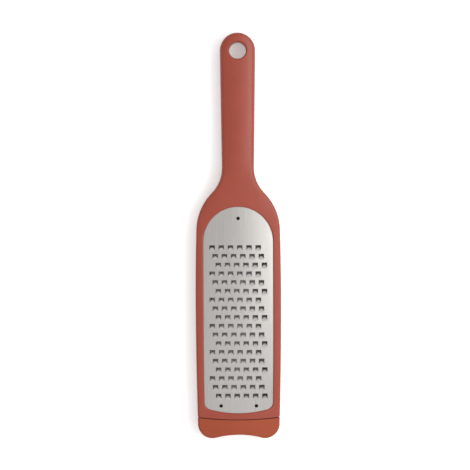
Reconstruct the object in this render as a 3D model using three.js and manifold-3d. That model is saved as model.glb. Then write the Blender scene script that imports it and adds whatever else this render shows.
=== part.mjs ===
// Coarse hand grater: moulded grip and rim, arched steel blade, retainer ring behind it, push-on foot.
// Millimetres, +Z out of the blade face, +Y towards the hanging hole, lying on its flat back.
// Every piece is modelled with a flat front, and the crown across the width is bent in at the end.
import * as THREE from 'three';
import { mergeVertices } from 'three/addons/utils/BufferGeometryUtils.js';
import Module from 'manifold-3d';

const wasm = await Module();
wasm.setup();

// Body
const THICKNESS = 18; // flat back to the highest line of the front
const CROWN_RADIUS = 180; // the front is part of a cylinder along the length
const CROWN_START = 4; // height above the back at which the crown begins to act
const CROWN_FULL = 11; // height from which it acts in full
const HANDLE_END_RADIUS = 14.3;
const HANDLE_LENGTH = 93.9; // neck to the centre of the rounded end
const NECK_HALF_WIDTH = 13;
const NECK_RADIUS = 28.2; // hollow curve from the neck into the shoulder
const SHOULDER_RADIUS = 43.7; // full curve from the shoulder into the rim
const FRAME_LENGTH = 150.8; // parting gap, on the axis, to the end of the shoulder
const FRAME_SHOULDER_HALF_WIDTH = 33.6;
const FRAME_HALF_WIDTH = 34.3; // at the widest place
const FRAME_BULGE = 0.66; // share of the rim's length at which it is widest
const SIDE_DRAFT = 0.8; // how much narrower the back is, each side
const HANDLE_FRONT_ROUND = 3.5;
const FRAME_FRONT_ROUND = 2.2;
const HANDLE_BACK_ROUND = 5;
const FRAME_BACK_ROUND = 1;
const HANG_HOLE_RADIUS = 6.8;
const HANG_HOLE_ROUND = 1.4;

// Foot
const FOOT_LENGTH = 14.9; // parting gap, on the axis, to the lowest points of the lobes
const LOBE_RADIUS = 11.6;
const LOBE_SPACING = 42.3; // between the lobe centres
const NOTCH_DEPTH = 2.8;
const PART_GAP = 0.6; // open gap between body and foot
const PART_BOW_RADIUS = 260;
const TONGUE_HALF_WIDTH = 23;
const TONGUE_LENGTH = 9;
const TONGUE_THICKNESS = 8;
const TONGUE_HEIGHT = 4.4; // its underside above the back
const TONGUE_CORNER = 4;

// Blade window and what sits in it
const WINDOW_HALF_WIDTH = 27.85; // also the radius of its round end
const WINDOW_LENGTH = 164.7;
const WINDOW_CORNER = 6;
const WINDOW_BOW_RADIUS = 91;
const RIM_AT_FOOT = 5.3; // window to parting gap, on the axis
const LIP_ROUND = 1.1;
const BLADE_RECESS = 1.4; // front of the blade below the front of the rim
const BLADE_BORDER = 2.2; // hidden edge of the blade under the lip
const BLADE_THICKNESS = 0.5;
const RETAINER_THICKNESS = 2.4;
const RETAINER_OVERLAP = 1.2; // how far the ring reaches in past the edge of the lip
const PAD_RADIUS = 2.6;
const FIT = 0.25; // clearance between pieces that sit in one another

// Locating holes of the blade
const LOCATOR_RADIUS = 1.05;
const LOCATOR_FROM_TOP = 9.2;
const LOCATOR_FROM_FOOT = 5.8;
const LOCATOR_SPACING = 28.2; // between the two at the foot end
const PEG_SINK = 0.15; // end of the peg below the front of the blade

// Teeth
const ROW_PITCH = 6.97;
const COLUMN_PITCH = 7.37;
const FIELD_FROM_TOP = 32; // window's round end to the first row
const FIELD_FROM_FOOT = 14; // window's straight end to the last row
const FIELD_FROM_SIDE = 4.4;
const TOOTH_WIDTH = 4.6;
const TOOTH_LENGTH = 3.8;
const TOOTH_CORNER = 0.5;
const TAB_GAP = 1.45; // cutting edge to the edge of its hole, seen from the front
const TAB_SIDE_GAP = 0.3;
const TAB_RISE = 1.1;
const TAB_THICKNESS = 0.35;
const TAB_ROOT = 0.25; // how far the tab runs on into the plate

// Fineness of the facets
const ROUND_STEPS = 4;
const PEG_SIDES = 16;
const HOLE_SIDES = 36;
const CROWN_STEP = 7; // widest facet across the crowned front

// Heights along the length, measured from the lowest points of the foot
const partLine = FOOT_LENGTH;
const shoulderStart = partLine + FRAME_LENGTH;
const shoulderWidth = FRAME_SHOULDER_HALF_WIDTH - NECK_HALF_WIDTH;
const shoulderTurn = Math.acos(1 - shoulderWidth / (NECK_RADIUS + SHOULDER_RADIUS));
const neckStart = shoulderStart + (NECK_RADIUS + SHOULDER_RADIUS) * Math.sin(shoulderTurn);
const handleCentre = neckStart + HANDLE_LENGTH;
const length = handleCentre + HANDLE_END_RADIUS;
const windowFoot = partLine + RIM_AT_FOOT;
const windowTop = windowFoot + WINDOW_LENGTH;

// Heights above the back, before the crown
const bladeFront = THICKNESS - BLADE_RECESS;
const bladeBack = bladeFront - BLADE_THICKNESS;
const retainerFront = bladeBack - FIT;
const retainerBack = retainerFront - RETAINER_THICKNESS;

function solid(geometry) {
  const bare = geometry.clone();
  bare.deleteAttribute('normal');
  bare.deleteAttribute('uv');
  const merged = mergeVertices(bare, 1e-4);
  return new wasm.Manifold(new wasm.Mesh({
    numProp: 3,
    vertProperties: new Float32Array(merged.attributes.position.array),
    triVerts: new Uint32Array(merged.index.array),
  }));
}

function arc(cx, cy, radius, from, to, steps) {
  const points = [];
  for (let i = 0; i <= steps; i++) {
    const turn = from + ((to - from) * i) / steps;
    points.push(new THREE.Vector2(cx + radius * Math.cos(turn), cy + radius * Math.sin(turn)));
  }
  return points;
}

function extrude(points, low, high, holes = []) {
  const shape = new THREE.Shape(points);
  shape.holes = holes.map((hole) => new THREE.Path(hole));
  const geometry = new THREE.ExtrudeGeometry(shape, { depth: high - low, bevelEnabled: false });
  return geometry.translate(0, 0, low);
}

// Whole outline, anticlockwise: right half from the foot's notch to the top of the handle, then mirrored.
function bodyOutline() {
  const lobeX = LOBE_SPACING / 2;
  const lobeRise = LOBE_RADIUS - NOTCH_DEPTH;
  const notchRadius = (lobeX ** 2 + lobeRise ** 2 - LOBE_RADIUS ** 2) / (2 * NOTCH_DEPTH);
  const notchCentre = NOTCH_DEPTH - notchRadius;
  const notchTurn = Math.atan2(LOBE_RADIUS - notchCentre, lobeX);
  const side = new THREE.SplineCurve([
    new THREE.Vector2(lobeX + LOBE_RADIUS, LOBE_RADIUS),
    new THREE.Vector2(FRAME_HALF_WIDTH, partLine + FRAME_LENGTH * FRAME_BULGE),
    new THREE.Vector2(FRAME_SHOULDER_HALF_WIDTH, shoulderStart),
  ]);
  const shoulderX = FRAME_SHOULDER_HALF_WIDTH - SHOULDER_RADIUS;
  const neckX = NECK_HALF_WIDTH + NECK_RADIUS;
  const handle = new THREE.LineCurve(
    new THREE.Vector2(NECK_HALF_WIDTH, neckStart),
    new THREE.Vector2(HANDLE_END_RADIUS, handleCentre),
  );
  const half = [
    ...arc(0, notchCentre, notchRadius, Math.PI / 2, notchTurn, 4),
    ...arc(lobeX, LOBE_RADIUS, LOBE_RADIUS, notchTurn - Math.PI, 0, 11).slice(1),
    ...side.getPoints(10).slice(1),
    ...arc(shoulderX, shoulderStart, SHOULDER_RADIUS, 0, shoulderTurn, 6).slice(1),
    ...arc(neckX, neckStart, NECK_RADIUS, Math.PI + shoulderTurn, Math.PI, 6).slice(1),
    ...handle.getPoints(5).slice(1),
    ...arc(0, handleCentre, HANDLE_END_RADIUS, 0, Math.PI / 2, 9).slice(1),
  ];
  half[0].x = 0;
  half.at(-1).x = 0;
  const mirrored = half.slice(1, -1).reverse().map((p) => new THREE.Vector2(-p.x, p.y));
  return [...half, ...mirrored];
}

function outwardNormals(outline) {
  return outline.map((point, i) => {
    const before = outline.at(i - 1);
    const after = outline[(i + 1) % outline.length];
    const along = after.clone().sub(before).normalize();
    return new THREE.Vector2(along.y, -along.x);
  });
}

// Closed solid through rings that have the same number of points, lowest first.
function stackRings(rings) {
  const count = rings[0].length;
  const positions = rings.flat().flatMap((p) => [p.x, p.y, p.z]);
  const index = [];
  for (let r = 0; r + 1 < rings.length; r++) {
    for (let i = 0; i < count; i++) {
      const a = r * count + i;
      const b = r * count + ((i + 1) % count);
      index.push(a, b, b + count, a, b + count, a + count);
    }
  }
  const flat = (ring) => ring.map((p) => new THREE.Vector2(p.x, p.y));
  const last = (rings.length - 1) * count;
  for (const [a, b, c] of THREE.ShapeUtils.triangulateShape(flat(rings[0]), [])) index.push(a, c, b);
  for (const [a, b, c] of THREE.ShapeUtils.triangulateShape(flat(rings.at(-1)), [])) {
    index.push(last + a, last + b, last + c);
  }
  const geometry = new THREE.BufferGeometry();
  geometry.setAttribute('position', new THREE.Float32BufferAttribute(positions, 3));
  geometry.setIndex(index);
  return geometry;
}

// Body and foot in one: rounded slab whose edge radii change from the rim to the handle.
function wholeForm() {
  const outline = bodyOutline();
  const normals = outwardNormals(outline);
  const ring = (front, turn) => outline.map((point, i) => {
    const toHandle = THREE.MathUtils.smoothstep(point.y, shoulderStart, neckStart);
    const round = front
      ? THREE.MathUtils.lerp(FRAME_FRONT_ROUND, HANDLE_FRONT_ROUND, toHandle)
      : THREE.MathUtils.lerp(FRAME_BACK_ROUND, HANDLE_BACK_ROUND, toHandle);
    const rise = round * (1 - Math.cos(turn));
    const z = front ? THICKNESS - rise : rise;
    const inset = round * (1 - Math.sin(turn)) + SIDE_DRAFT * (1 - z / THICKNESS);
    return new THREE.Vector3(point.x - inset * normals[i].x, point.y - inset * normals[i].y, z);
  });
  const rings = [];
  for (let k = 0; k <= ROUND_STEPS; k++) rings.push(ring(false, (k / ROUND_STEPS) * (Math.PI / 2)));
  for (let k = ROUND_STEPS; k >= 0; k--) rings.push(ring(true, (k / ROUND_STEPS) * (Math.PI / 2)));
  return solid(stackRings(rings));
}

// Everything on the foot side of the bowed parting line, moved up the length by the given amount.
function footSide(shift) {
  const reach = FRAME_HALF_WIDTH + 5;
  const centre = partLine + shift + PART_BOW_RADIUS;
  const turn = Math.asin(reach / PART_BOW_RADIUS);
  const bow = arc(0, centre, PART_BOW_RADIUS, -Math.PI / 2 - turn, -Math.PI / 2 + turn, 12);
  const corners = [new THREE.Vector2(reach, -5), new THREE.Vector2(-reach, -5)];
  return solid(extrude([...corners, ...bow].reverse(), -1, THICKNESS + 1));
}

// Outline of the blade window, moved outwards by the given amount.
function windowOutline(grow) {
  const bowCentre = windowFoot + WINDOW_BOW_RADIUS;
  const cornerX = WINDOW_HALF_WIDTH - WINDOW_CORNER;
  const cornerReach = WINDOW_BOW_RADIUS - WINDOW_CORNER;
  const cornerY = bowCentre - Math.sqrt(cornerReach ** 2 - cornerX ** 2);
  const bowTurn = Math.asin(cornerX / cornerReach);
  const down = -Math.PI / 2;
  const corner = WINDOW_CORNER + grow;
  return [
    ...arc(0, bowCentre, WINDOW_BOW_RADIUS + grow, down - bowTurn, down + bowTurn, 8),
    ...arc(cornerX, cornerY, corner, down + bowTurn, 0, 6).slice(1),
    ...arc(0, windowTop - WINDOW_HALF_WIDTH, WINDOW_HALF_WIDTH + grow, 0, Math.PI, 28),
    ...arc(-cornerX, cornerY, corner, -Math.PI, down - bowTurn, 6).slice(0, -1),
  ];
}

// Cutter for the window that leaves the lip with a rounded edge.
function lipCutter() {
  const at = (grow, z) => windowOutline(grow).map((p) => new THREE.Vector3(p.x, p.y, z));
  const rings = [at(0, 1)];
  for (let k = 0; k <= ROUND_STEPS; k++) {
    const turn = (k / ROUND_STEPS) * (Math.PI / 2);
    rings.push(at(LIP_ROUND * (1 - Math.cos(turn)), THICKNESS - LIP_ROUND * (1 - Math.sin(turn))));
  }
  rings.push(at(LIP_ROUND, THICKNESS + 1));
  return solid(stackRings(rings));
}

function hangHoleCutter() {
  const wide = HANG_HOLE_RADIUS + HANG_HOLE_ROUND;
  const bottom = arc(wide, HANG_HOLE_ROUND, HANG_HOLE_ROUND, -Math.PI / 2, -Math.PI, ROUND_STEPS);
  const top = arc(wide, THICKNESS - HANG_HOLE_ROUND, HANG_HOLE_ROUND, Math.PI, Math.PI / 2, ROUND_STEPS);
  const profile = [
    new THREE.Vector2(0, -1),
    new THREE.Vector2(wide, -1),
    ...bottom,
    ...top,
    new THREE.Vector2(wide, THICKNESS + 1),
    new THREE.Vector2(0, THICKNESS + 1),
  ];
  const geometry = new THREE.LatheGeometry(profile, HOLE_SIDES).rotateX(Math.PI / 2);
  return solid(geometry.translate(0, handleCentre, 0));
}

// Tongue of the body inside the foot, and with some room round it the pocket of the foot.
function tongue(room) {
  const half = TONGUE_HALF_WIDTH + room;
  const end = partLine - TONGUE_LENGTH - room;
  const corner = TONGUE_CORNER + room;
  const outline = [
    ...arc(half - corner, end + corner, corner, -Math.PI / 2, 0, 5),
    new THREE.Vector2(half, partLine + RIM_AT_FOOT / 2),
    new THREE.Vector2(-half, partLine + RIM_AT_FOOT / 2),
    ...arc(corner - half, end + corner, corner, -Math.PI, -Math.PI / 2, 5),
  ];
  return solid(extrude(outline, TONGUE_HEIGHT - room, TONGUE_HEIGHT + TONGUE_THICKNESS + room));
}

function locators() {
  return [
    new THREE.Vector2(0, windowTop - LOCATOR_FROM_TOP),
    new THREE.Vector2(-LOCATOR_SPACING / 2, windowFoot + LOCATOR_FROM_FOOT),
    new THREE.Vector2(LOCATOR_SPACING / 2, windowFoot + LOCATOR_FROM_FOOT),
  ];
}

function makeGripFrame(form) {
  const pocket = solid(extrude(windowOutline(BLADE_BORDER + FIT), -1, bladeFront + FIT));
  return form
    .subtract(footSide(PART_GAP / 2))
    .add(tongue(0))
    .subtract(lipCutter())
    .subtract(pocket)
    .subtract(hangHoleCutter());
}

function makeFootCap(form) {
  return form.intersect(footSide(-PART_GAP / 2)).subtract(tongue(FIT));
}

// Middle of every tooth hole: each row is a third of a column to the right of the one above it.
function toothPlaces() {
  const shift = COLUMN_PITCH / 3;
  const fieldWidth = 2 * (WINDOW_HALF_WIDTH - FIELD_FROM_SIDE - shift) - TOOTH_WIDTH;
  const fieldLength = WINDOW_LENGTH - FIELD_FROM_TOP - FIELD_FROM_FOOT;
  const columns = 1 + Math.floor(fieldWidth / COLUMN_PITCH);
  const rows = 1 + Math.floor(fieldLength / ROW_PITCH);
  const places = [];
  for (let row = 0; row < rows; row++) {
    for (let column = 0; column < columns; column++) {
      const x = (column - (columns - 1) / 2) * COLUMN_PITCH + ((row % 3) - 1) * shift;
      places.push(new THREE.Vector2(x, windowTop - FIELD_FROM_TOP - row * ROW_PITCH));
    }
  }
  return places;
}

function toothHole(place) {
  const x = TOOTH_WIDTH / 2;
  const y = TOOTH_LENGTH / 2;
  const outline = [[-x, -y], [x, -y], [x, y - TOOTH_CORNER], [x - TOOTH_CORNER, y]];
  outline.push([TOOTH_CORNER - x, y], [-x, y - TOOTH_CORNER]);
  return outline.map(([dx, dy]) => new THREE.Vector2(place.x + dx, place.y + dy));
}

// One tab, round towards the handle, that rises from the lower edge of its hole.
function toothTab(place) {
  const half = TOOTH_WIDTH / 2 - TAB_SIDE_GAP;
  const reach = TOOTH_LENGTH - TAB_GAP;
  const root = new THREE.Vector2(0, -TAB_ROOT);
  const edge = arc(0, 0, 1, 0, Math.PI, 8).map((p) => new THREE.Vector2(p.x * half, p.y * reach));
  const outline = [root.clone().setX(-half), root.clone().setX(half), ...edge];
  const geometry = extrude(outline, bladeFront - TAB_THICKNESS, bladeFront);
  const lean = new THREE.Matrix4().makeShear(0, 0, 0, TAB_RISE / reach, 0, 0);
  geometry.applyMatrix4(lean);
  return solid(geometry.translate(place.x, place.y - TOOTH_LENGTH / 2, 0));
}

function makeBladePlate() {
  const through = (outline) => solid(extrude(outline, bladeBack - 1, bladeFront + 1));
  let plate = solid(extrude(windowOutline(BLADE_BORDER), bladeBack, bladeFront));
  for (const place of locators()) {
    plate = plate.subtract(through(arc(place.x, place.y, LOCATOR_RADIUS, 0, 2 * Math.PI, PEG_SIDES).slice(1)));
  }
  for (const place of toothPlaces()) {
    plate = plate.subtract(through(toothHole(place))).add(toothTab(place));
  }
  return plate;
}

// Arm from the ring to one locating hole, with its peg.
function locatorArm(place) {
  const toRing = place.y > (windowFoot + windowTop) / 2 ? LOCATOR_FROM_TOP : -LOCATOR_FROM_FOOT;
  const end = place.y + toRing;
  const tip = arc(place.x, place.y, PAD_RADIUS, 0, -Math.PI * Math.sign(toRing), 8);
  const foot = [new THREE.Vector2(place.x - PAD_RADIUS, end), new THREE.Vector2(place.x + PAD_RADIUS, end)];
  const arm = solid(extrude([...tip, ...foot], retainerBack, retainerFront));
  const pegEnd = bladeFront - PEG_SINK;
  const peg = new THREE.CylinderGeometry(
    LOCATOR_RADIUS - FIT,
    LOCATOR_RADIUS - FIT,
    pegEnd - retainerBack - FIT,
    PEG_SIDES,
  ).rotateX(Math.PI / 2);
  return arm.add(solid(peg.translate(place.x, place.y, (pegEnd + retainerBack + FIT) / 2)));
}

function makeBladeRetainer() {
  const outline = windowOutline(BLADE_BORDER);
  const ring = solid(extrude(outline, retainerBack, retainerFront, [windowOutline(-RETAINER_OVERLAP)]));
  return locators().reduce((made, place) => made.add(locatorArm(place)), ring);
}

// Splits every edge that is too wide across the grater, so that the crown bends it smoothly.
function splitWide(points, triangles) {
  const halves = new Map();
  const middle = (a, b) => {
    const key = a < b ? `${a},${b}` : `${b},${a}`;
    if (!halves.has(key)) {
      halves.set(key, points.length);
      points.push(points[a].clone().add(points[b]).multiplyScalar(0.5));
    }
    return halves.get(key);
  };
  const width = (a, b) => Math.abs(points[a].x - points[b].x);
  const done = [];
  const open = [...triangles];
  while (open.length) {
    const [a, b, c] = open.pop();
    const widest = Math.max(width(a, b), width(b, c), width(c, a));
    if (widest <= CROWN_STEP) {
      done.push([a, b, c]);
    } else if (width(a, b) === widest) {
      const m = middle(a, b);
      open.push([a, m, c], [m, b, c]);
    } else if (width(b, c) === widest) {
      const m = middle(b, c);
      open.push([b, m, a], [m, c, a]);
    } else {
      const m = middle(c, a);
      open.push([c, m, b], [m, a, b]);
    }
  }
  return done;
}

function crown(point) {
  const share = THREE.MathUtils.clamp((point.z - CROWN_START) / (CROWN_FULL - CROWN_START), 0, 1);
  point.z -= (share * point.x ** 2) / (2 * CROWN_RADIUS);
}

function addPiece(name, made, material) {
  const mesh = made.getMesh();
  const points = [];
  for (let i = 0; i < mesh.vertProperties.length; i += mesh.numProp) {
    points.push(new THREE.Vector3().fromArray(mesh.vertProperties, i));
  }
  const triangles = [];
  for (let i = 0; i < mesh.triVerts.length; i += 3) triangles.push([...mesh.triVerts.slice(i, i + 3)]);
  const index = splitWide(points, triangles).flat();
  points.forEach(crown);
  const geometry = new THREE.BufferGeometry();
  geometry.setAttribute('position', new THREE.Float32BufferAttribute(points.flatMap((p) => p.toArray()), 3));
  geometry.setIndex(index);
  geometry.translate(0, -length / 2, 0);
  geometry.computeVertexNormals();
  const piece = new THREE.Mesh(geometry, material);
  piece.name = name;
  grater.add(piece);
}

const grater = new THREE.Group();
const plastic = new THREE.MeshStandardMaterial({ color: 0xa6594d, roughness: 0.45 });
const steel = new THREE.MeshStandardMaterial({ color: 0xc4c4c1, roughness: 0.3, metalness: 1 });
const blackPlastic = new THREE.MeshStandardMaterial({ color: 0x1c1b1a, roughness: 0.6 });
const softPlastic = new THREE.MeshStandardMaterial({ color: 0xa75742, roughness: 0.8 });

const form = wholeForm();
addPiece('grip_frame', makeGripFrame(form), plastic);
addPiece('blade_plate', makeBladePlate(), steel);
addPiece('blade_retainer', makeBladeRetainer(), blackPlastic);
addPiece('foot_cap', makeFootCap(form), softPlastic);

export default grater;
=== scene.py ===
# %% [markdown]
# # A coarse hand grater
#
# The grater lies on its back, blade up. Its handle, shoulders and rim are one plastic moulding, an
# arched steel blade sits in the rim, and a soft foot is pushed on at the tip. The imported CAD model
# gives the frame, in metres, and nearly every size. Here the body, the foot and the blade are
# modelled again with finer curves. Then come the finishes, the light and the camera.

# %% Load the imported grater
import math

import bmesh
import bpy
from mathutils import Matrix, Vector


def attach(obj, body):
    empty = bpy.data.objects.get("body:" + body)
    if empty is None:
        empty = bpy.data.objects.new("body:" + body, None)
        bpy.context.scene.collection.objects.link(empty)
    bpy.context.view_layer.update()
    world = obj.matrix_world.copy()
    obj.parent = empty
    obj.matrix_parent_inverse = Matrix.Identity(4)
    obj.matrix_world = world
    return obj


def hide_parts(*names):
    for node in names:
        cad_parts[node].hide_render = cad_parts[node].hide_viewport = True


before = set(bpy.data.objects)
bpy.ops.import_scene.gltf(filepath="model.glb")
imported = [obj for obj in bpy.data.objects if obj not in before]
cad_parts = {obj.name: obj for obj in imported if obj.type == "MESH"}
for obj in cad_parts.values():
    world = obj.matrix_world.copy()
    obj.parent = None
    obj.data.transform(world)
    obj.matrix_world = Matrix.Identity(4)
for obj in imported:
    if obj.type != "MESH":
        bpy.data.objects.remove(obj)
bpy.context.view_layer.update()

# %% [markdown]
# ## Drawing outlines
#
# The grater seen from the front is made of arcs and a few straight runs. An outline can be traced
# by hand, or drawn with curve objects. Here one vertex is spun about a centre for each arc, and
# pulled out for each straight run. Only the right half is drawn, and a mirror makes the left, so
# that the two sides can't differ.

# %% Helpers for outlines
MM = 0.001
MERGE_DISTANCE = 1e-6


def start_at(bm, x, y):
    return bm.verts.new((x, y, 0))


def arc_on(bm, vert, centre, turn, steps):
    made = bmesh.ops.spin(
        bm, geom=[vert], cent=(*centre, 0), axis=(0, 0, 1), angle=turn, steps=steps
    )
    return next(item for item in made["geom_last"] if isinstance(item, bmesh.types.BMVert))


def line_on(bm, vert, x, y):
    made = bmesh.ops.extrude_vert_indiv(bm, verts=[vert])
    made["verts"][0].co = (x, y, 0)
    return made["verts"][0]


def merge_doubles(bm):
    bmesh.ops.remove_doubles(bm, verts=bm.verts, dist=MERGE_DISTANCE)


def mirror_half(bm):
    half = bm.verts[:] + bm.edges[:]
    bmesh.ops.mirror(bm, geom=half, matrix=Matrix(), merge_dist=MERGE_DISTANCE, axis="X")
    merge_doubles(bm)


# %% Helpers for faces
def fill_outline(bm, upwards):
    face = bmesh.ops.contextual_create(bm, geom=bm.edges[:])["faces"][0]
    face.normal_update()
    if (face.normal.z > 0) != upwards:
        face.normal_flip()
    return face


def draw_in(bm, face, narrower, deeper):
    bmesh.ops.inset_region(
        bm, faces=[face], thickness=narrower, depth=deeper, use_boundary=True, use_even_offset=True
    )


def close_open_end(bm):
    bmesh.ops.contextual_create(bm, geom=[edge for edge in bm.edges if edge.is_boundary])


# %% [markdown]
# ## Turning a bmesh into a piece, and cutting pieces
#
# A moulding is easiest to think of as a block with things cut away. Boolean modifiers do the
# cutting here. Each is worked out at once, so that the next step starts from a plain mesh.

# %% Helpers for pieces
def as_object(bm, name, turn_outwards=True):
    if turn_outwards:
        bmesh.ops.recalc_face_normals(bm, faces=bm.faces)
    mesh = bpy.data.meshes.new(name)
    bm.to_mesh(mesh)
    bm.free()
    piece = bpy.data.objects.new(name, mesh)
    bpy.context.scene.collection.objects.link(piece)
    return piece


def settle(piece):
    seen = piece.evaluated_get(bpy.context.evaluated_depsgraph_get())
    mesh = bpy.data.meshes.new_from_object(seen)
    piece.modifiers.clear()
    piece.data = mesh


def carve(piece, tool, operation="DIFFERENCE"):
    step = piece.modifiers.new("carve", "BOOLEAN")
    step.operation = operation
    step.solver = "EXACT"
    step.object = tool
    settle(piece)
    bpy.data.objects.remove(tool)


# %% [markdown]
# ## The whole form
#
# Body and foot run into each other without a step, so they start as one form that is parted
# later. Its outline is drawn at the front, drawn in a little towards the back as a moulding must
# be, and its edges are rounded. The handle has rounder edges than the rim, so each edge carries a
# weight, and one bevel rounds them all.

# %% Sizes of the form
THICKNESS = 18 * MM
SIDE_DRAFT = 0.8 * MM
FOOT_LENGTH = 14.9 * MM
LOBE_RADIUS = 11.6 * MM
LOBE_X = 21.15 * MM
NOTCH_DEPTH = 2.8 * MM
FRAME_LENGTH = 150.8 * MM
FRAME_HALF_WIDTH = 34.3 * MM
FRAME_BULGE = 0.66
SHOULDER_HALF_WIDTH = 33.6 * MM
SHOULDER_RADIUS = 43.7 * MM
NECK_RADIUS = 28.2 * MM
NECK_HALF_WIDTH = 13 * MM
HANDLE_END_RADIUS = 14.3 * MM
HANDLE_LENGTH = 93.9 * MM
HANDLE_FRONT_ROUND = 2.8 * MM
FRAME_FRONT_ROUND = 2.2 * MM
HANDLE_BACK_ROUND = 5 * MM
FRAME_BACK_ROUND = 1 * MM

shoulder_turn = math.acos(
    1 - (SHOULDER_HALF_WIDTH - NECK_HALF_WIDTH) / (NECK_RADIUS + SHOULDER_RADIUS)
)
shoulder_length = (NECK_RADIUS + SHOULDER_RADIUS) * math.sin(shoulder_turn)
tip_y = -(FOOT_LENGTH + FRAME_LENGTH + shoulder_length + HANDLE_LENGTH + HANDLE_END_RADIUS) / 2
lobe_y = tip_y + LOBE_RADIUS
part_y = tip_y + FOOT_LENGTH
widest_y = part_y + FRAME_LENGTH * FRAME_BULGE
shoulder_y = part_y + FRAME_LENGTH
neck_y = shoulder_y + shoulder_length
handle_y = neck_y + HANDLE_LENGTH
print("top of the handle:", round(1000 * (handle_y + HANDLE_END_RADIUS), 1), "mm")

# %% Draw the outline of the form
NOTCH_STEPS = 14
LOBE_STEPS = 28
SIDE_STEPS = 36
SHOULDER_STEPS = 18
NECK_STEPS = 14
HANDLE_STEPS = 16
HANDLE_END_STEPS = 28


def rim_half_width(y):
    if y < widest_y:
        share = (y - widest_y) / (lobe_y - widest_y)
        return FRAME_HALF_WIDTH - (FRAME_HALF_WIDTH - LOBE_X - LOBE_RADIUS) * share**2
    share = (y - widest_y) / (shoulder_y - widest_y)
    return FRAME_HALF_WIDTH - (FRAME_HALF_WIDTH - SHOULDER_HALF_WIDTH) * share**2


def draw_tip(bm):
    rise = LOBE_RADIUS - NOTCH_DEPTH
    notch_radius = (LOBE_X**2 + rise**2 - LOBE_RADIUS**2) / (2 * NOTCH_DEPTH)
    notch_y = tip_y + NOTCH_DEPTH - notch_radius
    notch_turn = math.atan2(lobe_y - notch_y, LOBE_X)
    vert = start_at(bm, 0, tip_y + NOTCH_DEPTH)
    vert = arc_on(bm, vert, (0, notch_y), notch_turn - math.pi / 2, NOTCH_STEPS)
    return arc_on(bm, vert, (LOBE_X, lobe_y), math.pi - notch_turn, LOBE_STEPS)


def draw_form(bm):
    vert = draw_tip(bm)
    for step in range(1, SIDE_STEPS + 1):
        y = lobe_y + (shoulder_y - lobe_y) * step / SIDE_STEPS
        vert = line_on(bm, vert, rim_half_width(y), y)
    shoulder_x = SHOULDER_HALF_WIDTH - SHOULDER_RADIUS
    vert = arc_on(bm, vert, (shoulder_x, shoulder_y), shoulder_turn, SHOULDER_STEPS)
    vert = arc_on(bm, vert, (NECK_HALF_WIDTH + NECK_RADIUS, neck_y), -shoulder_turn, NECK_STEPS)
    for step in range(1, HANDLE_STEPS + 1):
        share = step / HANDLE_STEPS
        x = NECK_HALF_WIDTH + (HANDLE_END_RADIUS - NECK_HALF_WIDTH) * share
        vert = line_on(bm, vert, x, neck_y + HANDLE_LENGTH * share)
    arc_on(bm, vert, (0, handle_y), math.pi / 2, HANDLE_END_STEPS)
    mirror_half(bm)


# %% Raise the form and round its edges
ROUND_SEGMENTS = 7


def smoothstep(value, low, high):
    share = min(max((value - low) / (high - low), 0), 1)
    return share * share * (3 - 2 * share)


def weigh_edges(bm):
    weights = bm.edges.layers.float.new("bevel_weight_edge")
    for edge in bm.edges:
        middle = (edge.verts[0].co + edge.verts[1].co) / 2
        to_handle = smoothstep(middle.y, shoulder_y, neck_y)
        if abs(edge.verts[0].co.z - edge.verts[1].co.z) > THICKNESS / 2:
            continue
        if middle.z > THICKNESS / 2:
            size = FRAME_FRONT_ROUND + (HANDLE_FRONT_ROUND - FRAME_FRONT_ROUND) * to_handle
        else:
            size = FRAME_BACK_ROUND + (HANDLE_BACK_ROUND - FRAME_BACK_ROUND) * to_handle
        edge[weights] = size / HANDLE_BACK_ROUND


def make_form(name):
    bm = bmesh.new()
    draw_form(bm)
    back = fill_outline(bm, upwards=False)
    bmesh.ops.translate(bm, verts=bm.verts, vec=(0, 0, THICKNESS))
    draw_in(bm, back, SIDE_DRAFT, THICKNESS)
    close_open_end(bm)
    weigh_edges(bm)
    form = as_object(bm, name)
    rounding = form.modifiers.new("edges", "BEVEL")
    rounding.limit_method = "WEIGHT"
    rounding.width = HANDLE_BACK_ROUND
    rounding.segments = ROUND_SEGMENTS
    rounding.profile = 0.5
    rounding.use_clamp_overlap = False
    settle(form)
    return form


# %% [markdown]
# ## Parting the foot from the body
#
# On the grater a dark open line, bowed towards the tip, runs between body and foot, a little wider
# at its ends. Two blocks with bowed edges cut it: one is taken away from the body, and what the
# other, with a flatter bow, shares with the form is the foot. A flat tongue of the body reaches
# into a pocket of the foot. An open slit would let light through from below, so the body's end
# face also has a low land that almost meets the foot, and what is left to see is a groove.

# %% Blocks on the foot's side of the parting line
PART_GAP = 0.6 * MM
PART_BOW_RADIUS = 260 * MM
FOOT_BOW_RADIUS = 310 * MM
BOW_STEPS = 24
OVERSHOOT = 1 * MM
WIDE_OVERSHOOT = 5 * MM

print("foot:", round(1000 * FOOT_LENGTH, 1), "mm long, gap", round(1000 * PART_GAP, 2), "mm")


def raise_outline(bm, low, high):
    face = fill_outline(bm, upwards=True)
    bmesh.ops.translate(bm, verts=bm.verts, vec=(0, 0, low))
    made = bmesh.ops.extrude_face_region(bm, geom=[face], use_keep_orig=True)["geom"]
    top = [item for item in made if isinstance(item, bmesh.types.BMVert)]
    bmesh.ops.translate(bm, verts=top, vec=(0, 0, high - low))


def foot_side(shift, bow_radius):
    reach = FRAME_HALF_WIDTH + WIDE_OVERSHOOT
    end = tip_y - WIDE_OVERSHOOT
    bm = bmesh.new()
    vert = start_at(bm, 0, part_y + shift)
    turn = math.asin(reach / bow_radius)
    vert = arc_on(bm, vert, (0, part_y + shift + bow_radius), turn, BOW_STEPS)
    vert = line_on(bm, vert, reach, end)
    line_on(bm, vert, 0, end)
    mirror_half(bm)
    raise_outline(bm, -OVERSHOOT, THICKNESS + OVERSHOOT)
    return as_object(bm, "foot_side")


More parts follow.
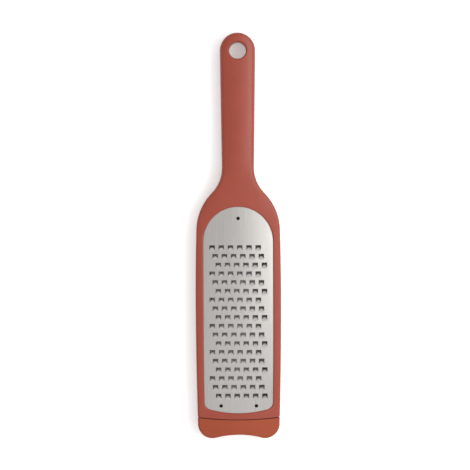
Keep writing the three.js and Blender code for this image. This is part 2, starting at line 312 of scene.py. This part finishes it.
# %% The land in the parting line
LAND_GAP = 0.15 * MM
LAND_HALF_WIDTH = 31.1 * MM
LAND_ROOT = 2 * MM
LAND_LOW = 0.3 * MM
LAND_HIGH = 15.4 * MM

print("land:", round(1000 * LAND_GAP, 2), "mm from the foot")


def seam_land():
    end = part_y - PART_GAP / 2 + LAND_GAP
    bm = bmesh.new()
    vert = start_at(bm, 0, end)
    turn = math.asin(LAND_HALF_WIDTH / FOOT_BOW_RADIUS)
    vert = arc_on(bm, vert, (0, end + FOOT_BOW_RADIUS), turn, BOW_STEPS)
    vert = line_on(bm, vert, vert.co.x, vert.co.y + LAND_ROOT)
    line_on(bm, vert, 0, end + LAND_ROOT)
    mirror_half(bm)
    raise_outline(bm, LAND_LOW, LAND_HIGH)
    return as_object(bm, "seam_land")


# %% The tongue and its pocket
TONGUE_HALF_WIDTH = 23 * MM
TONGUE_LENGTH = 9 * MM
TONGUE_THICKNESS = 8 * MM
TONGUE_HEIGHT = 4.4 * MM
TONGUE_CORNER = 4 * MM
TONGUE_CORNER_STEPS = 10
TONGUE_ROOT = 2.5 * MM
FIT = 0.25 * MM

print("tongue:", round(1000 * TONGUE_LENGTH, 1), "mm long, with", round(1000 * FIT, 2), "mm of room")


def tongue(room):
    half = TONGUE_HALF_WIDTH + room
    corner = TONGUE_CORNER + room
    end = part_y - TONGUE_LENGTH - room
    bm = bmesh.new()
    vert = start_at(bm, 0, end)
    vert = line_on(bm, vert, half - corner, end)
    vert = arc_on(bm, vert, (half - corner, end + corner), math.pi / 2, TONGUE_CORNER_STEPS)
    vert = line_on(bm, vert, half, part_y + TONGUE_ROOT)
    line_on(bm, vert, 0, part_y + TONGUE_ROOT)
    mirror_half(bm)
    raise_outline(bm, TONGUE_HEIGHT - room, TONGUE_HEIGHT + TONGUE_THICKNESS + room)
    return as_object(bm, "tongue")


# %% [markdown]
# ## The window for the blade
#
# The window is round towards the handle and has soft corners at the foot. Its front edge is a
# rounded lip, and it narrows a little towards the foot. A straight cutter and a bevel afterwards
# would do, but the bevel would have to find the right edges. So the tool itself is wider at the
# front: it starts from the wide outline and is inset step by step along a quarter circle on its way
# down. The pocket for the blade is cut from behind, and the hanging hole with a spun profile.

# %% Outline of the window
WINDOW_HALF_WIDTH = 27.97 * MM
WINDOW_LENGTH = 164.7 * MM
WINDOW_CORNER = 6 * MM
WINDOW_BOW_RADIUS = 91 * MM
RIM_AT_FOOT = 5.3 * MM
TAPER_POWER = 4
WINDOW_FOOT_STEPS = 12
WINDOW_SIDE_STEPS = 20
WINDOW_END_STEPS = 40

window_y = part_y + RIM_AT_FOOT
window_top = window_y + WINDOW_LENGTH
print("window from y", round(1000 * window_y, 1), "to", round(1000 * window_top, 1), "mm")


def draw_window(bm, grow, taper=0):
    bow_y = window_y + WINDOW_BOW_RADIUS
    corner_x = WINDOW_HALF_WIDTH - taper - WINDOW_CORNER
    reach = WINDOW_BOW_RADIUS - WINDOW_CORNER
    bow_turn = math.asin(corner_x / reach)
    corner_y = bow_y - reach * math.cos(bow_turn)
    end_y = window_top - WINDOW_HALF_WIDTH
    vert = start_at(bm, 0, window_y - grow)
    vert = arc_on(bm, vert, (0, bow_y), bow_turn, WINDOW_FOOT_STEPS)
    vert = arc_on(bm, vert, (corner_x, corner_y), math.pi / 2 - bow_turn, WINDOW_FOOT_STEPS)
    for step in range(1, WINDOW_SIDE_STEPS + 1):
        share = step / WINDOW_SIDE_STEPS
        x = WINDOW_HALF_WIDTH + grow - taper * (1 - share) ** TAPER_POWER
        vert = line_on(bm, vert, x, corner_y + (end_y - corner_y) * share)
    arc_on(bm, vert, (0, end_y), math.pi / 2, WINDOW_END_STEPS)
    mirror_half(bm)


# %% Tools for the lip and the pocket behind it
WINDOW_TAPER = 0.54 * MM
LIP_ROUND = 1.1 * MM
LIP_STEPS = 6
BLADE_RECESS = 1.4 * MM
BLADE_BORDER = 2.2 * MM

print("blade:", round(1000 * BLADE_RECESS, 1), "mm below the lip")


def lip_tool():
    bm = bmesh.new()
    draw_window(bm, LIP_ROUND, WINDOW_TAPER)
    face = fill_outline(bm, upwards=False)
    bmesh.ops.translate(bm, verts=bm.verts, vec=(0, 0, THICKNESS + OVERSHOOT))
    draw_in(bm, face, 0, OVERSHOOT)
    for step in range(LIP_STEPS):
        before = math.pi / 2 * (1 - step / LIP_STEPS)
        after = math.pi / 2 * (1 - (step + 1) / LIP_STEPS)
        narrower = LIP_ROUND * (math.cos(after) - math.cos(before))
        deeper = LIP_ROUND * (math.sin(before) - math.sin(after))
        draw_in(bm, face, narrower, deeper)
    draw_in(bm, face, 0, THICKNESS / 2)
    close_open_end(bm)
    return as_object(bm, "lip_tool")


def pocket_tool():
    bm = bmesh.new()
    draw_window(bm, BLADE_BORDER + FIT)
    raise_outline(bm, -OVERSHOOT, THICKNESS - BLADE_RECESS + FIT)
    return as_object(bm, "pocket_tool")


# %% Tool for the hanging hole
HANG_HOLE_RADIUS = 6.8 * MM
HANG_HOLE_ROUND = 1.4 * MM
HANG_HOLE_ROUND_STEPS = 8
HANG_HOLE_STEPS = 72

print("hanging hole:", round(2000 * HANG_HOLE_RADIUS, 1), "mm across")


def hang_hole_tool():
    wide = HANG_HOLE_RADIUS + HANG_HOLE_ROUND
    top = THICKNESS - HANG_HOLE_ROUND
    bm = bmesh.new()
    vert = start_at(bm, 0, -OVERSHOOT)
    vert = line_on(bm, vert, wide, -OVERSHOOT)
    vert = line_on(bm, vert, wide, 0)
    vert = arc_on(bm, vert, (wide, HANG_HOLE_ROUND), -math.pi / 2, HANG_HOLE_ROUND_STEPS)
    vert = line_on(bm, vert, HANG_HOLE_RADIUS, top)
    vert = arc_on(bm, vert, (wide, top), -math.pi / 2, HANG_HOLE_ROUND_STEPS)
    vert = line_on(bm, vert, wide, THICKNESS + OVERSHOOT)
    line_on(bm, vert, 0, THICKNESS + OVERSHOOT)
    bmesh.ops.rotate(bm, verts=bm.verts, matrix=Matrix.Rotation(math.pi / 2, 3, "X"))
    bmesh.ops.spin(
        bm, geom=bm.verts[:] + bm.edges[:], cent=(0, 0, 0), axis=(0, 0, 1),
        angle=2 * math.pi, steps=HANG_HOLE_STEPS, use_merge=True,
    )
    merge_doubles(bm)
    bmesh.ops.translate(bm, verts=bm.verts, vec=(0, handle_y, 0))
    return as_object(bm, "hang_hole_tool")


# %% [markdown]
# ## The crown
#
# The front of the grater, blade included, is arched across its width, so that food meets the
# middle of the blade first. The handle is rounder still, and the rim beside the blade flattens out
# again. It is easiest to model everything flat and bend it once. Flat faces have no points to bend,
# so they are sliced into narrow strips first: along the whole length, more closely on the rim, and
# across the neck, where the two arches run into each other.

# %% Slice into strips
NECK_BLEND = (neck_y - 18 * MM, neck_y + 12 * MM)
STRIP_WIDTH = 1.6 * MM
STRIPS_PER_SIDE = 21
RIM_STRIP_START = 28.3 * MM
RIM_STRIP_WIDTH = 0.5 * MM
RIM_SLICES = 11
NECK_STRIP_LENGTH = 1.5 * MM
NECK_SLICES = 21
SLICE_TOLERANCE = 1e-7

strip_places = [STRIP_WIDTH * step for step in range(-STRIPS_PER_SIDE, STRIPS_PER_SIDE + 1)]
rim_places = [
    side * (RIM_STRIP_START + RIM_STRIP_WIDTH * step) for side in (-1, 1) for step in range(RIM_SLICES)
]
neck_places = [NECK_BLEND[0] + NECK_STRIP_LENGTH * step for step in range(NECK_SLICES)]
print(len(strip_places) + len(rim_places), "slices along the grater,", len(neck_places), "across")


def everything(bm):
    return bm.verts[:] + bm.edges[:] + bm.faces[:]


def slice_at(bm, geom_of, direction, places):
    for place in places:
        bmesh.ops.bisect_plane(
            bm, geom=geom_of(bm), dist=SLICE_TOLERANCE,
            plane_co=place * Vector(direction), plane_no=direction,
        )


# %% Bend the strips
CROWN_RADIUS = 180 * MM
HANDLE_CROWN_RADIUS = 34 * MM
CROWN_START = 4 * MM
CROWN_FULL = 11 * MM
RIM_FLAT_START = 24 * MM
RIM_FLAT_RADIUS = 58 * MM
BODY_SMOOTH_DEGREES = 32


def bend_crown(bm, flat_rim):
    for vert in bm.verts:
        to_handle = smoothstep(vert.co.y, *NECK_BLEND)
        curve = (1 - to_handle) / CROWN_RADIUS + to_handle / HANDLE_CROWN_RADIUS
        drop = vert.co.x**2 * curve / 2
        if flat_rim:
            drop -= max(abs(vert.co.x) - RIM_FLAT_START, 0) ** 2 / RIM_FLAT_RADIUS / 2
        share = min(max((vert.co.z - CROWN_START) / (CROWN_FULL - CROWN_START), 0), 1)
        vert.co.z -= share * drop


def smooth_curves(piece, degrees):
    piece.data.polygons.foreach_set("use_smooth", [True] * len(piece.data.polygons))
    piece.data.set_sharp_from_angle(angle=math.radians(degrees))
    print(piece.name, len(piece.data.polygons), "faces")


def crown(piece):
    bm = bmesh.new()
    bm.from_mesh(piece.data)
    merge_doubles(bm)
    slice_at(bm, everything, (1, 0, 0), strip_places + rim_places)
    slice_at(bm, everything, (0, 1, 0), neck_places)
    bend_crown(bm, flat_rim=True)
    bm.to_mesh(piece.data)
    bm.free()
    smooth_curves(piece, BODY_SMOOTH_DEGREES)


# %% [markdown]
# ## Body and foot
#
# On the real grater the body comes out of one mould and the foot out of another. Modelled apart, they
# might not meet flush, so both start from the same form. The body loses the foot's side, gains the
# land and the tongue, and is cut for the window, the blade's pocket and the hanging hole. The foot
# is what the form shares with the foot's side, less a pocket for the tongue.

# %% Make the body
body = make_form("grip_body")
carve(body, foot_side(PART_GAP / 2, PART_BOW_RADIUS))
carve(body, seam_land(), "UNION")
carve(body, tongue(0), "UNION")
carve(body, lip_tool())
carve(body, pocket_tool())
carve(body, hang_hole_tool())
crown(body)

# %% Make the foot
foot = make_form("soft_foot")
carve(foot, foot_side(-PART_GAP / 2, FOOT_BOW_RADIUS), "INTERSECT")
carve(foot, tongue(FIT))
crown(foot)

# %% [markdown]
# ## The blade
#
# The blade is one sheet of steel with rows of teeth that were etched free on three sides and bent
# up. It could be cut hole by hole, but every tooth is alike, so one patch of sheet with its hole
# and tab is made from a small grid, and repeated. Each row is a third of a tooth spacing further
# to the right than the one above it, and after three rows this starts again on the left. So the
# patch has edge points that divide by three, and neighbouring rows share them. The plain sheet
# round the teeth is filled in afterwards.

# %% Sizes of the blade
ROW_PITCH = 6.97 * MM
COLUMN_PITCH = 7.37 * MM
ROWS = 18
COLUMNS = 6
FIRST_ROW = 32.5 * MM
TOOTH_HALF_WIDTH = 2.2 * MM
TOOTH_HALF_LENGTH = 1.88 * MM
TAB_HALF_WIDTH = 1.85 * MM
TAB_REACH = 1.93 * MM
TAB_RISE = 0.9 * MM
TAB_CURVE = 1.15
BLADE_THICKNESS = 0.5 * MM

PATCH_COLUMNS = 12
PATCH_ROWS = 7
HOLE_COLUMNS = (2, 10)
TAB_COLUMNS = (3, 9)
TAB_ROWS = (1, 5)

first_row_y = window_top - FIRST_ROW
hole_edge_x = (HOLE_COLUMNS[1] / PATCH_COLUMNS - 0.5) * COLUMN_PITCH
print("blade:", ROWS * COLUMNS, "teeth, first row at y", round(1000 * first_row_y, 1), "mm")


# %% Where the points of a patch go
def tab_point(column, row):
    across = 2 * (column - TAB_COLUMNS[0]) / (TAB_COLUMNS[1] - TAB_COLUMNS[0]) - 1
    along = (row - TAB_ROWS[0]) / (TAB_ROWS[1] - TAB_ROWS[0])
    x = TAB_HALF_WIDTH * across * math.sqrt(1 - along**2 / 2)
    reach = along * math.sqrt(1 - across**2 / 2)
    return Vector((x, TAB_REACH * reach - TOOTH_HALF_LENGTH, TAB_RISE * reach**TAB_CURVE))


def patch_point(column, row):
    edge_x = (column / PATCH_COLUMNS - 0.5) * COLUMN_PITCH
    if row == 0:
        return Vector((edge_x, -ROW_PITCH / 2, 0))
    if row == PATCH_ROWS:
        return Vector((edge_x, ROW_PITCH / 2, 0))
    if TAB_COLUMNS[0] <= column <= TAB_COLUMNS[1] and row <= TAB_ROWS[1]:
        return tab_point(column, row)
    along = (row - TAB_ROWS[0]) / (PATCH_ROWS - 1 - TAB_ROWS[0])
    y = TOOTH_HALF_LENGTH * (2 * along - 1)
    if HOLE_COLUMNS[0] <= column <= HOLE_COLUMNS[1]:
        half = (HOLE_COLUMNS[1] - HOLE_COLUMNS[0]) / 2
        return Vector(((column - PATCH_COLUMNS / 2) / half * TOOTH_HALF_WIDTH, y, 0))
    side = -1 if column < PATCH_COLUMNS / 2 else 1
    outside = (abs(edge_x) - hole_edge_x) / (COLUMN_PITCH / 2 - hole_edge_x)
    x = TOOTH_HALF_WIDTH + (COLUMN_PITCH / 2 - TOOTH_HALF_WIDTH) * outside
    return Vector((side * x, y, 0))


# %% One patch of sheet with a tooth
def in_hole(column, row):
    beside = HOLE_COLUMNS[0] <= column < HOLE_COLUMNS[1] and 1 <= row < PATCH_ROWS - 1
    on_tab = TAB_COLUMNS[0] <= column < TAB_COLUMNS[1] and row < TAB_ROWS[1]
    return beside and not on_tab


def add_patch(bm, place, hole_mark):
    made = bmesh.ops.create_grid(bm, x_segments=PATCH_COLUMNS, y_segments=PATCH_ROWS, size=0.5)["verts"]
    faces = {face for vert in made for face in vert.link_faces}
    for face in faces:
        middle = face.calc_center_median()
        column = int((middle.x + 0.5) * PATCH_COLUMNS)
        row = int((middle.y + 0.5) * PATCH_ROWS)
        face[hole_mark] = in_hole(column, row)
    for vert in made:
        column = round((vert.co.x + 0.5) * PATCH_COLUMNS)
        row = round((vert.co.y + 0.5) * PATCH_ROWS)
        vert.co = place + patch_point(column, row)


# %% Repeat the patch
def tooth_places():
    for row in range(ROWS):
        shift = (row % 3 - 1) * COLUMN_PITCH / 3
        for column in range(COLUMNS):
            x = (column - (COLUMNS - 1) / 2) * COLUMN_PITCH + shift
            yield Vector((x, first_row_y - row * ROW_PITCH, 0))


def toothed_field():
    bm = bmesh.new()
    hole_mark = bm.faces.layers.int.new("hole")
    for place in tooth_places():
        add_patch(bm, place, hole_mark)
    merge_doubles(bm)
    return bm


# %% Edges of the plain sheet
LOCATOR_RADIUS = 1.4 * MM
LOCATOR_FROM_TOP = 9.2 * MM
LOCATOR_FROM_FOOT = 5.8 * MM
LOCATOR_X = 14.1 * MM
LOCATOR_SEGMENTS = 24

locator_places = [
    (0, window_top - LOCATOR_FROM_TOP, 0),
    (-LOCATOR_X, window_y + LOCATOR_FROM_FOOT, 0),
    (LOCATOR_X, window_y + LOCATOR_FROM_FOOT, 0),
]
print(len(locator_places), "locating holes,", round(2000 * LOCATOR_RADIUS, 1), "mm across")


def sheet_edges():
    bm = bmesh.new()
    draw_window(bm, BLADE_BORDER)
    for place in locator_places:
        bmesh.ops.create_circle(
            bm, segments=LOCATOR_SEGMENTS, radius=LOCATOR_RADIUS, matrix=Matrix.Translation(place)
        )
    mesh = bpy.data.meshes.new("sheet_edges")
    bm.to_mesh(mesh)
    bm.free()
    return mesh


# %% Fill in the sheet round the teeth
def fill_sheet(bm):
    toothed = set(bm.faces)
    before = set(bm.edges)
    around = [edge for edge in bm.edges if edge.is_boundary]
    outside = sheet_edges()
    bm.from_mesh(outside)
    bpy.data.meshes.remove(outside)
    around += [edge for edge in bm.edges if edge not in before]
    bmesh.ops.triangle_fill(bm, edges=around, use_beauty=True, normal=(0, 0, 1))

    def plain_sheet(mesh):
        faces = [face for face in mesh.faces if face not in toothed]
        edges = {edge for face in faces for edge in face.edges}
        verts = {vert for face in faces for vert in face.verts}
        return list(verts) + list(edges) + faces

    slice_at(bm, plain_sheet, (1, 0, 0), strip_places)


# %% Make the blade
BLADE_SMOOTH_DEGREES = 40


def make_blade():
    bm = toothed_field()
    fill_sheet(bm)
    hole_mark = bm.faces.layers.int["hole"]
    bmesh.ops.delete(bm, geom=[face for face in bm.faces if face[hole_mark]], context="FACES")
    for face in bm.faces:
        if face.normal.z < 0:
            face.normal_flip()
    bmesh.ops.translate(bm, verts=bm.verts, vec=(0, 0, THICKNESS - BLADE_RECESS))
    bend_crown(bm, flat_rim=False)
    sheet = as_object(bm, "steel_blade", turn_outwards=False)
    gauge = sheet.modifiers.new("gauge", "SOLIDIFY")
    gauge.thickness = BLADE_THICKNESS
    gauge.offset = -1
    settle(sheet)
    smooth_curves(sheet, BLADE_SMOOTH_DEGREES)
    return sheet


blade = make_blade()

# %% [markdown]
# ## Finishes
#
# The body is a satin moulding: its colour barely changes over the surface, but a very fine grain and
# a patchy roughness break the gloss up. The foot is a softer plastic, more orange, duller and with a
# coarser grain. The blade is satin steel with a faint drawn grain along its length, and the ring
# behind it is dull black plastic. A flat colour would look like a toy, and pictures can't be used,
# so each finish gets its unevenness from noise on the piece's own coordinates. The patches of a
# finish drive both its colour and its gloss.

# %% Helpers for finishes
PATCH_DETAIL = 4
GRAIN_DETAIL = 2
NOISE_LOW = 0.3
NOISE_HIGH = 0.7


def new_finish(name):
    material = bpy.data.materials.new(name)
    material.use_nodes = True
    return material


def socket(material, name):
    return material.node_tree.nodes["Principled BSDF"].inputs[name]


def unevenness(material, scale, detail, stretch=(1, 1, 1)):
    nodes = material.node_tree.nodes
    links = material.node_tree.links
    place = nodes.new("ShaderNodeTexCoord")
    turn = nodes.new("ShaderNodeMapping")
    turn.inputs["Scale"].default_value = stretch
    noise = nodes.new("ShaderNodeTexNoise")
    noise.inputs["Scale"].default_value = scale
    noise.inputs["Detail"].default_value = detail
    links.new(place.outputs["Object"], turn.inputs["Vector"])
    links.new(turn.outputs["Vector"], noise.inputs["Vector"])
    return noise.outputs["Fac"]


# %% Patches of colour and gloss, and a grain
def mottle(material, patches, dark, light):
    ramp = material.node_tree.nodes.new("ShaderNodeValToRGB")
    for element, position, colour in zip(
        ramp.color_ramp.elements, (NOISE_LOW, NOISE_HIGH), (dark, light)
    ):
        element.position = position
        element.color = (*colour, 1)
    material.node_tree.links.new(patches, ramp.inputs["Fac"])
    material.node_tree.links.new(ramp.outputs["Color"], socket(material, "Base Color"))


def patchy_gloss(material, patches, low, high):
    gloss = material.node_tree.nodes.new("ShaderNodeMapRange")
    gloss.inputs["From Min"].default_value = NOISE_LOW
    gloss.inputs["From Max"].default_value = NOISE_HIGH
    gloss.inputs["To Min"].default_value = low
    gloss.inputs["To Max"].default_value = high
    material.node_tree.links.new(patches, gloss.inputs["Value"])
    material.node_tree.links.new(gloss.outputs["Result"], socket(material, "Roughness"))


def grain(material, scale, depth, stretch=(1, 1, 1)):
    bump = material.node_tree.nodes.new("ShaderNodeBump")
    bump.inputs["Strength"].default_value = 1
    bump.inputs["Distance"].default_value = depth
    height = unevenness(material, scale, GRAIN_DETAIL, stretch)
    material.node_tree.links.new(height, bump.inputs["Height"])
    material.node_tree.links.new(bump.outputs["Normal"], socket(material, "Normal"))


# %% Satin plastic and soft plastic
def satin_plastic():
    plastic = new_finish("satin_terracotta_plastic")
    patches = unevenness(plastic, scale=60, detail=PATCH_DETAIL)
    mottle(plastic, patches, dark=(0.38, 0.0585, 0.0285), light=(0.4, 0.0635, 0.0315))
    patchy_gloss(plastic, patches, low=0.35, high=0.41)
    grain(plastic, scale=2600, depth=0.012 * MM)
    socket(plastic, "Specular IOR Level").default_value = 0.62
    return plastic


def soft_plastic():
    plastic = new_finish("soft_matt_plastic")
    patches = unevenness(plastic, scale=90, detail=PATCH_DETAIL)
    mottle(plastic, patches, dark=(0.406, 0.07, 0.0245), light=(0.426, 0.075, 0.0275))
    patchy_gloss(plastic, patches, low=0.58, high=0.66)
    grain(plastic, scale=1800, depth=0.02 * MM)
    return plastic


# %% Steel and black plastic
def satin_steel():
    steel = new_finish("satin_steel")
    patches = unevenness(steel, scale=900, detail=PATCH_DETAIL, stretch=(1, 0.04, 1))
    mottle(steel, patches, dark=(0.651, 0.627, 0.6), light=(0.694, 0.67, 0.643))
    patchy_gloss(steel, patches, low=0.27, high=0.33)
    grain(steel, scale=3500, depth=0.004 * MM, stretch=(1, 0.05, 1))
    socket(steel, "Metallic").default_value = 1
    return steel


def black_plastic():
    plastic = new_finish("black_plastic")
    patches = unevenness(plastic, scale=200, detail=PATCH_DETAIL)
    mottle(plastic, patches, dark=(0.006, 0.006, 0.006), light=(0.01, 0.01, 0.01))
    patchy_gloss(plastic, patches, low=0.55, high=0.65)
    grain(plastic, scale=1500, depth=0.02 * MM)
    socket(plastic, "Specular IOR Level").default_value = 0.15
    return plastic


# %% Give each piece its finish
body.data.materials.append(satin_plastic())
foot.data.materials.append(soft_plastic())
blade.data.materials.append(satin_steel())
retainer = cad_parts["blade_retainer"]
retainer.material_slots[0].material = black_plastic()
for piece in (body, foot, blade, retainer):
    print(piece.name, "is", piece.material_slots[0].material.name)

# %% [markdown]
# ## What moves with what
#
# Blade and body stay together and the foot pulls off, so each new piece rides on the body that its
# CAD node belongs to. It stands for that node, and the table lists the slot that its finish belongs
# to. The ring behind the blade already has the right shape, so that node stays and only got a new
# finish.

# %% Put the pieces on the grater's bodies
for piece, node, body_name, slot in (
    (body, "grip_frame", "grater", "grip_plastic"),
    (blade, "blade_plate", "grater", "blade_steel"),
    (foot, "foot_cap", "foot", "foot_soft"),
):
    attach(piece, body_name)
    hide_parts(node)
    print(piece.name, "rides on", body_name, "and stands for", node)

# %% [markdown]
# ## The floor
#
# The grater lies on a white ground that fades into a soft shadow on its left. More light would make
# any floor white, but the grater would be washed out with it. So the floor is a pale matt plane, and
# only what the camera, gloss and glass see of it is a little brighter and glows. A plain grey card
# under the blade is painted shade: it stands in for the shade beneath the blade, keeps that glow out
# of the tooth holes, and makes them dark.

# %% The floor's finish
FLOOR_COLOUR = (0.8, 0.8, 0.8, 1)
SEEN_FLOOR_COLOUR = (1.14, 1.18, 1.18, 1)
FLOOR_GLOW = 0.32


def seen_directly(nodes, links):
    path = nodes.new("ShaderNodeLightPath")
    seen = path.outputs["Is Camera Ray"]
    for ray in ("Is Glossy Ray", "Is Transmission Ray"):
        either = nodes.new("ShaderNodeMath")
        either.operation = "MAXIMUM"
        links.new(seen, either.inputs[0])
        links.new(path.outputs[ray], either.inputs[1])
        seen = either.outputs["Value"]
    return seen


def white_floor():
    material = new_finish("white_floor")
    nodes = material.node_tree.nodes
    links = material.node_tree.links
    nodes.clear()
    output = nodes.new("ShaderNodeOutputMaterial")
    pale = nodes.new("ShaderNodeBsdfDiffuse")
    bright = nodes.new("ShaderNodeBsdfDiffuse")
    glow = nodes.new("ShaderNodeEmission")
    both = nodes.new("ShaderNodeAddShader")
    mix = nodes.new("ShaderNodeMixShader")
    pale.inputs["Color"].default_value = FLOOR_COLOUR
    bright.inputs["Color"].default_value = SEEN_FLOOR_COLOUR
    glow.inputs["Strength"].default_value = FLOOR_GLOW
    links.new(seen_directly(nodes, links), mix.inputs["Fac"])
    links.new(pale.outputs["BSDF"], mix.inputs[1])
    links.new(bright.outputs["BSDF"], both.inputs[0])
    links.new(glow.outputs["Emission"], both.inputs[1])
    links.new(both.outputs["Shader"], mix.inputs[2])
    links.new(mix.outputs["Shader"], output.inputs["Surface"])
    return material


# %% Lay the floor
FLOOR_HALF_SIZE = 30

floor_bm = bmesh.new()
bmesh.ops.create_grid(floor_bm, x_segments=1, y_segments=1, size=FLOOR_HALF_SIZE)
floor = as_object(floor_bm, "floor")
floor.data.materials.append(white_floor())
print("stage:", floor.name)

# %% Lay the card of painted shade under the blade
# The card is painted shade: a grey sheet in place of the shade under the blade, so the tooth holes look
# dark.
SHADE_CARD_HEIGHT = 0.1 * MM
SHADE_CARD_COLOUR = (0.68, 0.67, 0.66, 1)
SHADE_CARD_ROUGHNESS = 0.9


# Finish of the painted-shade card: a plain matt grey.
def painted_shade_card():
    material = new_finish("painted_shade_card")
    socket(material, "Base Color").default_value = SHADE_CARD_COLOUR
    socket(material, "Roughness").default_value = SHADE_CARD_ROUGHNESS
    return material


# Lay the painted-shade card just above the floor, under the blade's window.
shade_card_bm = bmesh.new()
draw_window(shade_card_bm, BLADE_BORDER)
fill_outline(shade_card_bm, upwards=True)
bmesh.ops.translate(shade_card_bm, verts=shade_card_bm.verts, vec=(0, 0, SHADE_CARD_HEIGHT))
shade_card = as_object(shade_card_bm, "painted_shade_card")
shade_card.data.materials.append(painted_shade_card())
print("stage:", shade_card.name)

# %% [markdown]
# ## The light
#
# The blade shows where the light is: it is grey on the left, and gets brighter step by step to its
# right edge, most of all at the top. One small lamp would leave a hard streak there. So a sky that
# is brighter overhead lights everything softly, a large weak panel hangs close by on the right, and
# a smaller softbox in front of it gives the handle its highlight and the grater its shadow. Each has
# an upper and a lower part. The lower parts light the plastic evenly down to the foot, but gloss
# doesn't show them, so the blade's bright edge fades on its way down. Two faint lamps are meant for
# the steel: one over the lower half of the blade, and one beyond the foot, which the slanting teeth
# reflect.

# %% The sky
SKY_AT_HORIZON = 0.28
SKY_OVERHEAD = 0.63

world = bpy.data.worlds.new("studio")
bpy.context.scene.world = world
world.use_nodes = True
sky = world.node_tree.nodes["Background"]
sky.inputs["Color"].default_value = (1, 1, 1, 1)
split = world.node_tree.nodes.new("ShaderNodeSeparateXYZ")
brightness = world.node_tree.nodes.new("ShaderNodeMapRange")
brightness.inputs["To Min"].default_value = SKY_AT_HORIZON
brightness.inputs["To Max"].default_value = SKY_OVERHEAD
direction = world.node_tree.nodes.new("ShaderNodeTexCoord").outputs["Generated"]
world.node_tree.links.new(direction, split.inputs["Vector"])
world.node_tree.links.new(split.outputs["Z"], brightness.inputs["Value"])
world.node_tree.links.new(brightness.outputs["Result"], sky.inputs["Strength"])
print("sky from", SKY_AT_HORIZON, "at the horizon to", SKY_OVERHEAD, "overhead")


# %% Lamps
def soft_lamp(name, place, target, size, power, in_gloss=True):
    lamp = bpy.data.lights.new(name, "AREA")
    lamp.shape = "RECTANGLE"
    lamp.size = size[0]
    lamp.size_y = size[1]
    lamp.energy = power
    stand = bpy.data.objects.new(name, lamp)
    stand.visible_camera = False
    stand.visible_glossy = in_gloss
    stand.location = place
    stand.rotation_euler = (Vector(target) - Vector(place)).to_track_quat("-Z", "Y").to_euler()
    bpy.context.scene.collection.objects.link(stand)
    print(name, power, "W")


def side_lamp(name, x, z, half_length, width, gloss_from, power):
    for part, low, high in (("upper", gloss_from, half_length), ("lower", -half_length, gloss_from)):
        y = (low + high) / 2
        length = high - low
        part_power = round(power * length / (2 * half_length), 3)
        soft_lamp(f"{part}_{name}", (x, y, z), (0, y, 0), (length, width), part_power, part == "upper")


side_lamp("panel", x=0.284, z=0.436, half_length=0.8, width=0.53, gloss_from=-0.11, power=1.3)
side_lamp("softbox", x=0.315, z=0.393, half_length=0.32, width=0.25, gloss_from=-0.06, power=0.95)
soft_lamp("blade_lamp", place=(-0.03, -0.1, 0.3), target=(-0.03, -0.1, 0), size=(0.2, 0.12), power=0.007)
soft_lamp("tooth_lamp", place=(0, -0.42, 0.5), target=(0, -0.06, 0), size=(0.4, 0.4), power=0.14)

# %% [markdown]
# ## The camera
#
# The photograph looks straight down on the grater from far away, and the grater is turned a touch in
# the frame. The pixel size, the pixel of the grater's axis and that small turn give the camera's
# place, so nothing has to be moved by eye.

# %% Camera
IMAGE_SIZE = 470
PIXEL = 0.8 * MM
LENS = 200
SENSOR = 36
CLIP_START = 0.01
RIM_HEIGHT = 12 * MM
TURN = math.radians(0.21)
AXIS_PIXEL = (238.15, 235.4)

camera = bpy.data.objects.new("camera", bpy.data.cameras.new("camera"))
camera.data.lens = LENS
camera.data.sensor_width = SENSOR
camera.data.clip_start = CLIP_START
camera.location = (
    (IMAGE_SIZE / 2 - AXIS_PIXEL[0]) * PIXEL,
    (AXIS_PIXEL[1] - IMAGE_SIZE / 2) * PIXEL,
    RIM_HEIGHT + IMAGE_SIZE * PIXEL * LENS / SENSOR,
)
camera.rotation_euler = (0, 0, -TURN)
bpy.context.scene.collection.objects.link(camera)
bpy.context.scene.camera = camera
bpy.context.scene.view_settings.view_transform = "Standard"
print("camera", round(camera.location.z, 2), "m above the floor")
